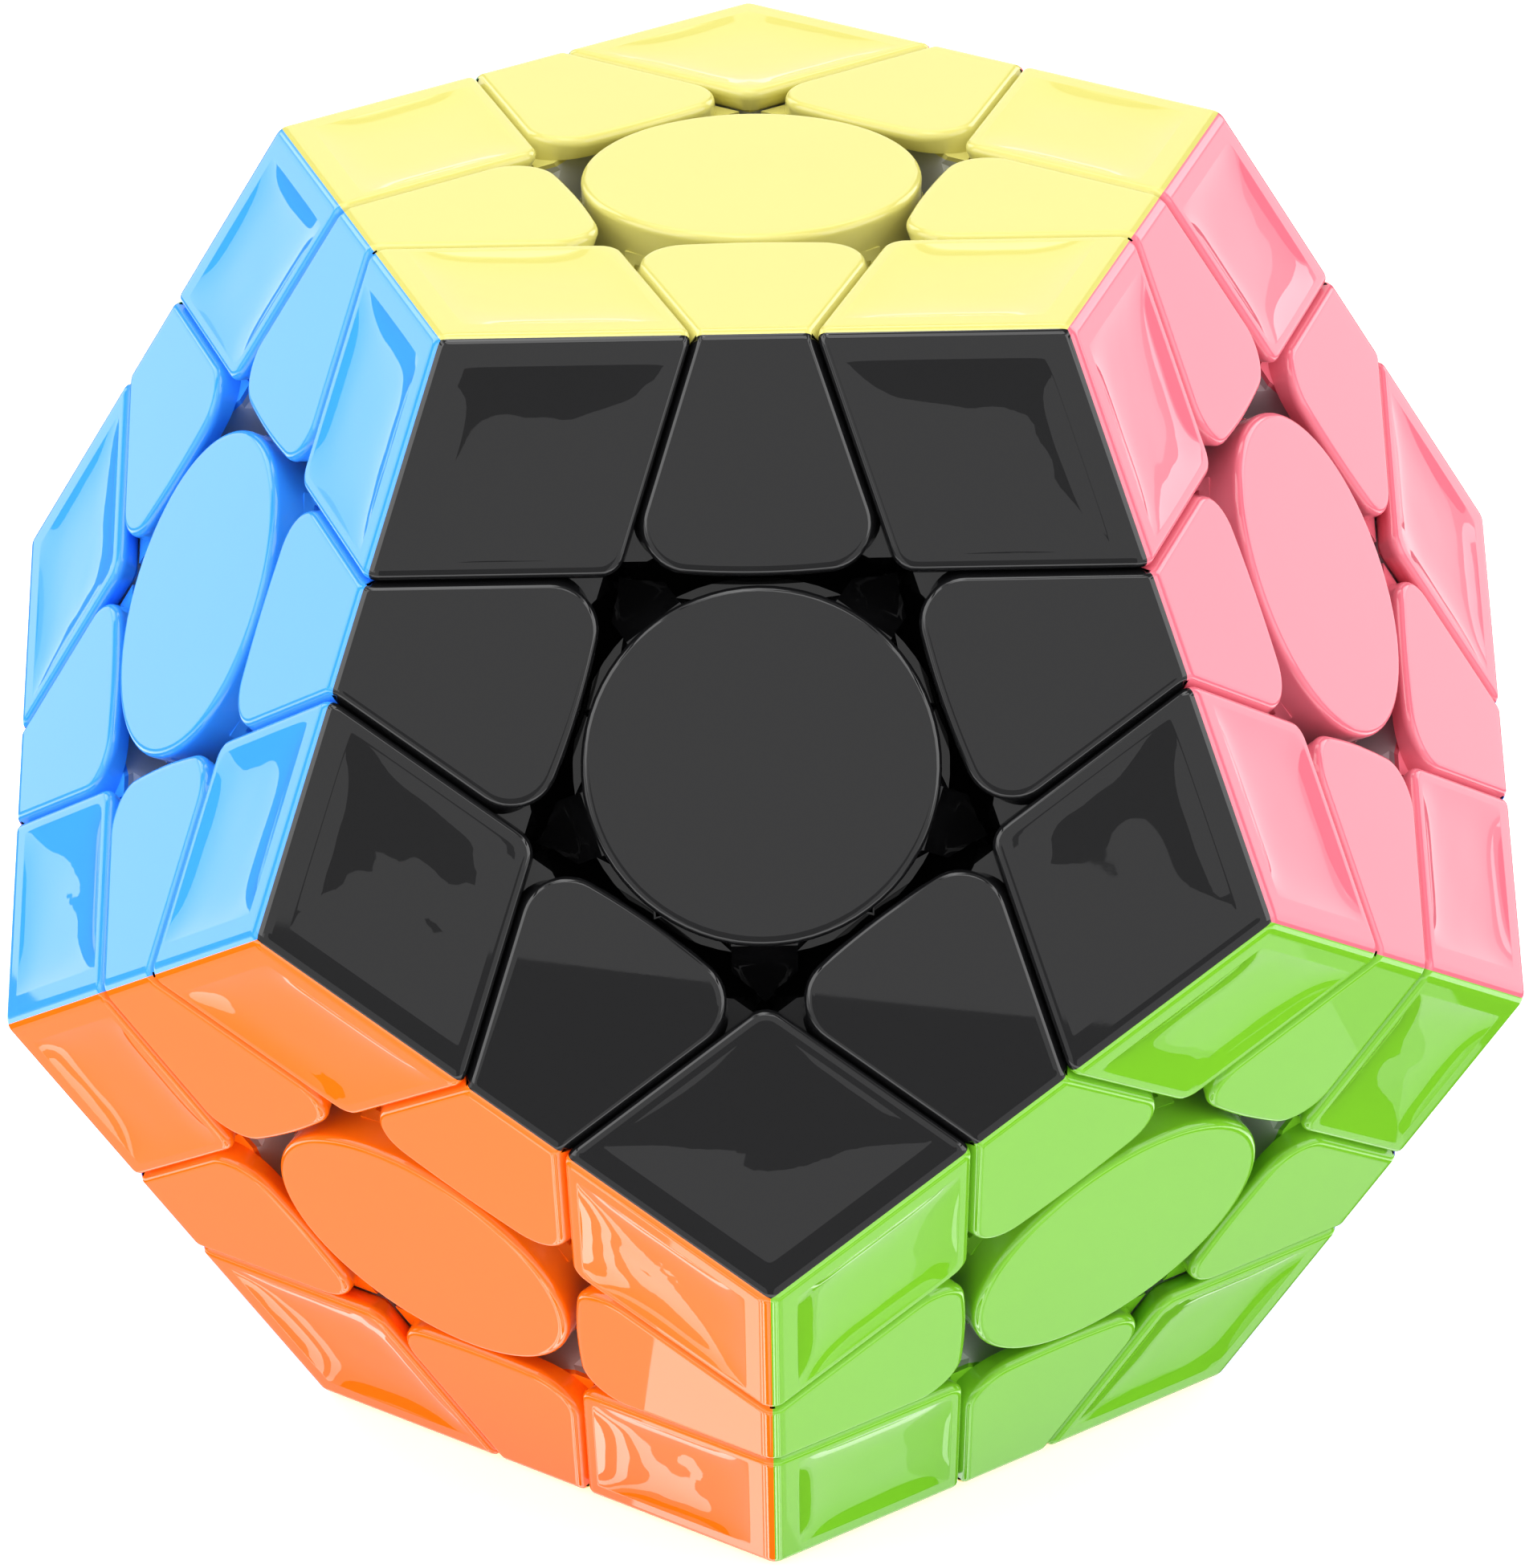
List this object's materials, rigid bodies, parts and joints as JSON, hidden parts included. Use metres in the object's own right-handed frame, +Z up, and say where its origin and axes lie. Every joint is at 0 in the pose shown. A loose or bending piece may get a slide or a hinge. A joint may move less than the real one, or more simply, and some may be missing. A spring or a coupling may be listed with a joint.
{
  "type": "dodecahedron twisty puzzle",
  "caption": "Twelve-sided face-turning twisty puzzle: a core with arms carries round-capped centres, and edges and corners hooked between them turn with the faces.",
  "frame": {"origin": "middle of the yellow bottom face, on the surface the puzzle stands on", "axes": "+Z up along the axis of the cream top face; -Y towards the viewer, with the black face above it and an edge of the dodecahedron level across the top of that face; +X to the viewer's right"},
  "size_m": [0.078, 0.082, 0.0668],
  "materials": {
    "cream_plastic": "gloss",
    "black_plastic": "gloss",
    "sky_plastic": "gloss",
    "pink_plastic": "gloss",
    "red_plastic": "gloss",
    "green_plastic": "gloss",
    "orange_plastic": "gloss",
    "lime_plastic": "gloss",
    "blue_plastic": "gloss",
    "white_plastic": "gloss",
    "purple_plastic": "gloss",
    "yellow_plastic": "gloss"
  },
  "bodies": {
    "core": {"core_with_centre_yellow": "yellow_plastic"},
    "centre_cream": {"centre_cream": "cream_plastic"},
    "centre_black": {"centre_black": "black_plastic"},
    "centre_sky": {"centre_sky": "sky_plastic"},
    "centre_pink": {"centre_pink": "pink_plastic"},
    "centre_red": {"centre_red": "red_plastic"},
    "centre_green": {"centre_green": "green_plastic"},
    "centre_orange": {"centre_orange": "orange_plastic", "edge_orange_yellow": "orange_plastic"},
    "centre_lime": {"centre_lime": "lime_plastic", "edge_lime_yellow": "lime_plastic"},
    "centre_blue": {"centre_blue": "blue_plastic", "edge_blue_yellow": "blue_plastic"},
    "centre_white": {"centre_white": "white_plastic", "edge_white_yellow": "white_plastic"},
    "centre_purple": {"centre_purple": "purple_plastic", "edge_purple_yellow": "purple_plastic"},
    "edge_cream_black": {"edge_cream_black": "cream_plastic"},
    "edge_cream_sky": {"edge_cream_sky": "cream_plastic"},
    "edge_cream_pink": {"edge_cream_pink": "cream_plastic"},
    "edge_cream_red": {"edge_cream_red": "cream_plastic"},
    "edge_cream_green": {"edge_cream_green": "cream_plastic"},
    "edge_black_sky": {"edge_black_sky": "black_plastic"},
    "edge_black_pink": {"edge_black_pink": "black_plastic"},
    "edge_black_orange": {"edge_black_orange": "black_plastic"},
    "edge_black_lime": {"edge_black_lime": "black_plastic"},
    "edge_sky_green": {"edge_sky_green": "sky_plastic"},
    "edge_sky_orange": {"edge_sky_orange": "sky_plastic"},
    "edge_sky_purple": {"edge_sky_purple": "sky_plastic"},
    "edge_pink_red": {"edge_pink_red": "pink_plastic"},
    "edge_pink_lime": {"edge_pink_lime": "pink_plastic"},
    "edge_pink_blue": {"edge_pink_blue": "pink_plastic"},
    "edge_red_green": {"edge_red_green": "red_plastic"},
    "edge_red_blue": {"edge_red_blue": "red_plastic"},
    "edge_red_white": {"edge_red_white": "red_plastic"},
    "edge_green_white": {"edge_green_white": "green_plastic"},
    "edge_green_purple": {"edge_green_purple": "green_plastic"},
    "edge_orange_lime": {"edge_orange_lime": "orange_plastic", "corner_orange_lime_yellow": "orange_plastic"},
    "edge_orange_purple": {"edge_orange_purple": "orange_plastic", "corner_orange_purple_yellow": "orange_plastic"},
    "edge_lime_blue": {"edge_lime_blue": "lime_plastic", "corner_lime_blue_yellow": "lime_plastic"},
    "edge_blue_white": {"edge_blue_white_with_corner_yellow": "blue_plastic"},
    "edge_white_purple": {"edge_white_purple_with_corner_yellow": "white_plastic"},
    "corner_cream_black_sky": {"corner_cream_black_sky": "cream_plastic"},
    "corner_cream_black_pink": {"corner_cream_black_pink": "cream_plastic"},
    "corner_cream_sky_green": {"corner_cream_sky_green": "cream_plastic"},
    "corner_cream_pink_red": {"corner_cream_pink_red": "cream_plastic"},
    "corner_cream_red_green": {"corner_cream_red_green": "cream_plastic"},
    "corner_black_sky_orange": {"corner_black_sky_orange": "black_plastic"},
    "corner_black_pink_lime": {"corner_black_pink_lime": "black_plastic"},
    "corner_black_orange_lime": {"corner_black_orange_lime": "black_plastic"},
    "corner_sky_green_purple": {"corner_sky_green_purple": "sky_plastic"},
    "corner_sky_orange_purple": {"corner_sky_orange_purple": "sky_plastic"},
    "corner_pink_red_blue": {"corner_pink_red_blue": "pink_plastic"},
    "corner_pink_lime_blue": {"corner_pink_lime_blue": "pink_plastic"},
    "corner_red_green_white": {"corner_red_green_white": "red_plastic"},
    "corner_red_blue_white": {"corner_red_blue_white": "red_plastic"},
    "corner_green_white_purple": {"corner_green_white_purple": "green_plastic"}
  },
  "joints": [
    {"name": "cream_face_turn", "type": "hinge", "parent": "core", "child": "centre_cream", "pos_m": [0, 0, 0.0334], "axis": [0, 0, 1], "range_deg": [-360, 360]},
    {"name": "black_face_turn", "type": "hinge", "parent": "core", "child": "centre_black", "pos_m": [0, 0, 0.0334], "axis": [0, -0.8944, 0.4472], "range_deg": [-360, 360]},
    {"name": "sky_face_turn", "type": "hinge", "parent": "core", "child": "centre_sky", "pos_m": [0, 0, 0.0334], "axis": [-0.8507, -0.2764, 0.4472], "range_deg": [-360, 360]},
    {"name": "pink_face_turn", "type": "hinge", "parent": "core", "child": "centre_pink", "pos_m": [0, 0, 0.0334], "axis": [0.8507, -0.2764, 0.4472], "continuous": true},
    {"name": "red_face_turn", "type": "hinge", "parent": "core", "child": "centre_red", "pos_m": [0, 0, 0.0334], "axis": [0.5257, 0.7236, 0.4472], "range_deg": [-360, 360]},
    {"name": "green_face_turn", "type": "hinge", "parent": "core", "child": "centre_green", "pos_m": [0, 0, 0.0334], "axis": [-0.5257, 0.7236, 0.4472], "continuous": true},
    {"name": "orange_face_turn", "type": "hinge", "parent": "core", "child": "centre_orange", "pos_m": [0, 0, 0.0334], "axis": [-0.5257, -0.7236, -0.4472], "continuous": true},
    {"name": "lime_face_turn", "type": "hinge", "parent": "core", "child": "centre_lime", "pos_m": [0, 0, 0.0334], "axis": [0.5257, -0.7236, -0.4472], "range_deg": [-360, 360]},
    {"name": "blue_face_turn", "type": "hinge", "parent": "core", "child": "centre_blue", "pos_m": [0, 0, 0.0334], "axis": [0.8507, 0.2764, -0.4472], "range_deg": [-360, 360]},
    {"name": "white_face_turn", "type": "hinge", "parent": "core", "child": "centre_white", "pos_m": [0, 0, 0.0334], "axis": [0, 0.8944, -0.4472], "range_deg": [-360, 360]},
    {"name": "purple_face_turn", "type": "hinge", "parent": "core", "child": "centre_purple", "pos_m": [0, 0, 0.0334], "axis": [-0.8507, 0.2764, -0.4472], "range_deg": [-360, 360]},
    {"name": "edge_cream_black_turn_with_black", "type": "hinge", "parent": "centre_cream", "child": "edge_cream_black", "pos_m": [0, 0, 0.0334], "axis": [0, -0.8944, 0.4472], "range_deg": [-360, 360]},
    {"name": "edge_cream_sky_turn_with_sky", "type": "hinge", "parent": "centre_cream", "child": "edge_cream_sky", "pos_m": [0, 0, 0.0334], "axis": [-0.8507, -0.2764, 0.4472], "range_deg": [-360, 360]},
    {"name": "edge_cream_pink_turn_with_pink", "type": "hinge", "parent": "centre_cream", "child": "edge_cream_pink", "pos_m": [0, 0, 0.0334], "axis": [0.8507, -0.2764, 0.4472], "continuous": true},
    {"name": "edge_cream_red_turn_with_red", "type": "hinge", "parent": "centre_cream", "child": "edge_cream_red", "pos_m": [0, 0, 0.0334], "axis": [0.5257, 0.7236, 0.4472], "range_deg": [-360, 360]},
    {"name": "edge_cream_green_turn_with_green", "type": "hinge", "parent": "centre_cream", "child": "edge_cream_green", "pos_m": [0, 0, 0.0334], "axis": [-0.5257, 0.7236, 0.4472], "continuous": true},
    {"name": "edge_black_sky_turn_with_sky", "type": "hinge", "parent": "centre_black", "child": "edge_black_sky", "pos_m": [0, 0, 0.0334], "axis": [-0.8507, -0.2764, 0.4472], "range_deg": [-360, 360]},
    {"name": "edge_black_pink_turn_with_pink", "type": "hinge", "parent": "centre_black", "child": "edge_black_pink", "pos_m": [0, 0, 0.0334], "axis": [0.8507, -0.2764, 0.4472], "continuous": true},
    {"name": "edge_black_orange_turn_with_orange", "type": "hinge", "parent": "centre_black", "child": "edge_black_orange", "pos_m": [0, 0, 0.0334], "axis": [-0.5257, -0.7236, -0.4472], "continuous": true},
    {"name": "edge_black_lime_turn_with_lime", "type": "hinge", "parent": "centre_black", "child": "edge_black_lime", "pos_m": [0, 0, 0.0334], "axis": [0.5257, -0.7236, -0.4472], "range_deg": [-360, 360]},
    {"name": "edge_sky_green_turn_with_green", "type": "hinge", "parent": "centre_sky", "child": "edge_sky_green", "pos_m": [0, 0, 0.0334], "axis": [-0.5257, 0.7236, 0.4472], "continuous": true},
    {"name": "edge_sky_orange_turn_with_orange", "type": "hinge", "parent": "centre_sky", "child": "edge_sky_orange", "pos_m": [0, 0, 0.0334], "axis": [-0.5257, -0.7236, -0.4472], "continuous": true},
    {"name": "edge_sky_purple_turn_with_purple", "type": "hinge", "parent": "centre_sky", "child": "edge_sky_purple", "pos_m": [0, 0, 0.0334], "axis": [-0.8507, 0.2764, -0.4472], "range_deg": [-360, 360]},
    {"name": "edge_pink_red_turn_with_red", "type": "hinge", "parent": "centre_pink", "child": "edge_pink_red", "pos_m": [0, 0, 0.0334], "axis": [0.5257, 0.7236, 0.4472], "range_deg": [-360, 360]},
    {"name": "edge_pink_lime_turn_with_lime", "type": "hinge", "parent": "centre_pink", "child": "edge_pink_lime", "pos_m": [0, 0, 0.0334], "axis": [0.5257, -0.7236, -0.4472], "range_deg": [-360, 360]},
    {"name": "edge_pink_blue_turn_with_blue", "type": "hinge", "parent": "centre_pink", "child": "edge_pink_blue", "pos_m": [0, 0, 0.0334], "axis": [0.8507, 0.2764, -0.4472], "range_deg": [-360, 360]},
    {"name": "edge_red_green_turn_with_green", "type": "hinge", "parent": "centre_red", "child": "edge_red_green", "pos_m": [0, 0, 0.0334], "axis": [-0.5257, 0.7236, 0.4472], "continuous": true},
    {"name": "edge_red_blue_turn_with_blue", "type": "hinge", "parent": "centre_red", "child": "edge_red_blue", "pos_m": [0, 0, 0.0334], "axis": [0.8507, 0.2764, -0.4472], "range_deg": [-360, 360]},
    {"name": "edge_red_white_turn_with_white", "type": "hinge", "parent": "centre_red", "child": "edge_red_white", "pos_m": [0, 0, 0.0334], "axis": [0, 0.8944, -0.4472], "range_deg": [-360, 360]},
    {"name": "edge_green_white_turn_with_white", "type": "hinge", "parent": "centre_green", "child": "edge_green_white", "pos_m": [0, 0, 0.0334], "axis": [0, 0.8944, -0.4472], "range_deg": [-360, 360]},
    {"name": "edge_green_purple_turn_with_purple", "type": "hinge", "parent": "centre_green", "child": "edge_green_purple", "pos_m": [0, 0, 0.0334], "axis": [-0.8507, 0.2764, -0.4472], "range_deg": [-360, 360]},
    {"name": "edge_orange_lime_turn_with_lime", "type": "hinge", "parent": "centre_orange", "child": "edge_orange_lime", "pos_m": [0, 0, 0.0334], "axis": [0.5257, -0.7236, -0.4472], "range_deg": [-360, 360]},
    {"name": "edge_orange_purple_turn_with_purple", "type": "hinge", "parent": "centre_orange", "child": "edge_orange_purple", "pos_m": [0, 0, 0.0334], "axis": [-0.8507, 0.2764, -0.4472], "range_deg": [-360, 360]},
    {"name": "edge_lime_blue_turn_with_blue", "type": "hinge", "parent": "centre_lime", "child": "edge_lime_blue", "pos_m": [0, 0, 0.0334], "axis": [0.8507, 0.2764, -0.4472], "range_deg": [-360, 360]},
    {"name": "edge_blue_white_turn_with_white", "type": "hinge", "parent": "centre_blue", "child": "edge_blue_white", "pos_m": [0, 0, 0.0334], "axis": [0, 0.8944, -0.4472], "range_deg": [-360, 360]},
    {"name": "edge_white_purple_turn_with_purple", "type": "hinge", "parent": "centre_white", "child": "edge_white_purple", "pos_m": [0, 0, 0.0334], "axis": [-0.8507, 0.2764, -0.4472], "range_deg": [-360, 360]},
    {"name": "corner_cream_black_sky_turn_with_sky", "type": "hinge", "parent": "edge_cream_black", "child": "corner_cream_black_sky", "pos_m": [0, 0, 0.0334], "axis": [-0.8507, -0.2764, 0.4472], "range_deg": [-360, 360]},
    {"name": "corner_cream_black_pink_turn_with_pink", "type": "hinge", "parent": "edge_cream_black", "child": "corner_cream_black_pink", "pos_m": [0, 0, 0.0334], "axis": [0.8507, -0.2764, 0.4472], "continuous": true},
    {"name": "corner_cream_sky_green_turn_with_green", "type": "hinge", "parent": "edge_cream_sky", "child": "corner_cream_sky_green", "pos_m": [0, 0, 0.0334], "axis": [-0.5257, 0.7236, 0.4472], "continuous": true},
    {"name": "corner_cream_pink_red_turn_with_red", "type": "hinge", "parent": "edge_cream_pink", "child": "corner_cream_pink_red", "pos_m": [0, 0, 0.0334], "axis": [0.5257, 0.7236, 0.4472], "range_deg": [-360, 360]},
    {"name": "corner_cream_red_green_turn_with_green", "type": "hinge", "parent": "edge_cream_red", "child": "corner_cream_red_green", "pos_m": [0, 0, 0.0334], "axis": [-0.5257, 0.7236, 0.4472], "continuous": true},
    {"name": "corner_black_sky_orange_turn_with_orange", "type": "hinge", "parent": "edge_black_sky", "child": "corner_black_sky_orange", "pos_m": [0, 0, 0.0334], "axis": [-0.5257, -0.7236, -0.4472], "continuous": true},
    {"name": "corner_black_pink_lime_turn_with_lime", "type": "hinge", "parent": "edge_black_pink", "child": "corner_black_pink_lime", "pos_m": [0, 0, 0.0334], "axis": [0.5257, -0.7236, -0.4472], "range_deg": [-360, 360]},
    {"name": "corner_black_orange_lime_turn_with_lime", "type": "hinge", "parent": "edge_black_orange", "child": "corner_black_orange_lime", "pos_m": [0, 0, 0.0334], "axis": [0.5257, -0.7236, -0.4472], "range_deg": [-360, 360]},
    {"name": "corner_sky_green_purple_turn_with_purple", "type": "hinge", "parent": "edge_sky_green", "child": "corner_sky_green_purple", "pos_m": [0, 0, 0.0334], "axis": [-0.8507, 0.2764, -0.4472], "range_deg": [-360, 360]},
    {"name": "corner_sky_orange_purple_turn_with_purple", "type": "hinge", "parent": "edge_sky_orange", "child": "corner_sky_orange_purple", "pos_m": [0, 0, 0.0334], "axis": [-0.8507, 0.2764, -0.4472], "range_deg": [-360, 360]},
    {"name": "corner_pink_red_blue_turn_with_blue", "type": "hinge", "parent": "edge_pink_red", "child": "corner_pink_red_blue", "pos_m": [0, 0, 0.0334], "axis": [0.8507, 0.2764, -0.4472], "range_deg": [-360, 360]},
    {"name": "corner_pink_lime_blue_turn_with_blue", "type": "hinge", "parent": "edge_pink_lime", "child": "corner_pink_lime_blue", "pos_m": [0, 0, 0.0334], "axis": [0.8507, 0.2764, -0.4472], "range_deg": [-360, 360]},
    {"name": "corner_red_green_white_turn_with_white", "type": "hinge", "parent": "edge_red_green", "child": "corner_red_green_white", "pos_m": [0, 0, 0.0334], "axis": [0, 0.8944, -0.4472], "range_deg": [-360, 360]},
    {"name": "corner_red_blue_white_turn_with_white", "type": "hinge", "parent": "edge_red_blue", "child": "corner_red_blue_white", "pos_m": [0, 0, 0.0334], "axis": [0, 0.8944, -0.4472], "range_deg": [-360, 360]},
    {"name": "corner_green_white_purple_turn_with_purple", "type": "hinge", "parent": "edge_green_white", "child": "corner_green_white_purple", "pos_m": [0, 0, 0.0334], "axis": [-0.8507, 0.2764, -0.4472], "range_deg": [-360, 360]}
  ],
  "couplings": [
    {"joint": "edge_cream_black_turn_with_black", "follows": "black_face_turn", "ratio": 1},
    {"joint": "edge_cream_sky_turn_with_sky", "follows": "sky_face_turn", "ratio": 1},
    {"joint": "edge_cream_pink_turn_with_pink", "follows": "pink_face_turn", "ratio": 1},
    {"joint": "edge_cream_red_turn_with_red", "follows": "red_face_turn", "ratio": 1},
    {"joint": "edge_cream_green_turn_with_green", "follows": "green_face_turn", "ratio": 1},
    {"joint": "edge_black_sky_turn_with_sky", "follows": "sky_face_turn", "ratio": 1},
    {"joint": "edge_black_pink_turn_with_pink", "follows": "pink_face_turn", "ratio": 1},
    {"joint": "edge_black_orange_turn_with_orange", "follows": "orange_face_turn", "ratio": 1},
    {"joint": "edge_black_lime_turn_with_lime", "follows": "lime_face_turn", "ratio": 1},
    {"joint": "edge_sky_green_turn_with_green", "follows": "green_face_turn", "ratio": 1},
    {"joint": "edge_sky_orange_turn_with_orange", "follows": "orange_face_turn", "ratio": 1},
    {"joint": "edge_sky_purple_turn_with_purple", "follows": "purple_face_turn", "ratio": 1},
    {"joint": "edge_pink_red_turn_with_red", "follows": "red_face_turn", "ratio": 1},
    {"joint": "edge_pink_lime_turn_with_lime", "follows": "lime_face_turn", "ratio": 1},
    {"joint": "edge_pink_blue_turn_with_blue", "follows": "blue_face_turn", "ratio": 1},
    {"joint": "edge_red_green_turn_with_green", "follows": "green_face_turn", "ratio": 1},
    {"joint": "edge_red_blue_turn_with_blue", "follows": "blue_face_turn", "ratio": 1},
    {"joint": "edge_red_white_turn_with_white", "follows": "white_face_turn", "ratio": 1},
    {"joint": "edge_green_white_turn_with_white", "follows": "white_face_turn", "ratio": 1},
    {"joint": "edge_green_purple_turn_with_purple", "follows": "purple_face_turn", "ratio": 1},
    {"joint": "edge_orange_lime_turn_with_lime", "follows": "lime_face_turn", "ratio": 1},
    {"joint": "edge_orange_purple_turn_with_purple", "follows": "purple_face_turn", "ratio": 1},
    {"joint": "edge_lime_blue_turn_with_blue", "follows": "blue_face_turn", "ratio": 1},
    {"joint": "edge_blue_white_turn_with_white", "follows": "white_face_turn", "ratio": 1},
    {"joint": "edge_white_purple_turn_with_purple", "follows": "purple_face_turn", "ratio": 1},
    {"joint": "corner_cream_black_sky_turn_with_sky", "follows": "sky_face_turn", "ratio": 1},
    {"joint": "corner_cream_black_pink_turn_with_pink", "follows": "pink_face_turn", "ratio": 1},
    {"joint": "corner_cream_sky_green_turn_with_green", "follows": "green_face_turn", "ratio": 1},
    {"joint": "corner_cream_pink_red_turn_with_red", "follows": "red_face_turn", "ratio": 1},
    {"joint": "corner_cream_red_green_turn_with_green", "follows": "green_face_turn", "ratio": 1},
    {"joint": "corner_black_sky_orange_turn_with_orange", "follows": "orange_face_turn", "ratio": 1},
    {"joint": "corner_black_pink_lime_turn_with_lime", "follows": "lime_face_turn", "ratio": 1},
    {"joint": "corner_black_orange_lime_turn_with_lime", "follows": "lime_face_turn", "ratio": 1},
    {"joint": "corner_sky_green_purple_turn_with_purple", "follows": "purple_face_turn", "ratio": 1},
    {"joint": "corner_sky_orange_purple_turn_with_purple", "follows": "purple_face_turn", "ratio": 1},
    {"joint": "corner_pink_red_blue_turn_with_blue", "follows": "blue_face_turn", "ratio": 1},
    {"joint": "corner_pink_lime_blue_turn_with_blue", "follows": "blue_face_turn", "ratio": 1},
    {"joint": "corner_red_green_white_turn_with_white", "follows": "white_face_turn", "ratio": 1},
    {"joint": "corner_red_blue_white_turn_with_white", "follows": "white_face_turn", "ratio": 1},
    {"joint": "corner_green_white_purple_turn_with_purple", "follows": "purple_face_turn", "ratio": 1}
  ]
}
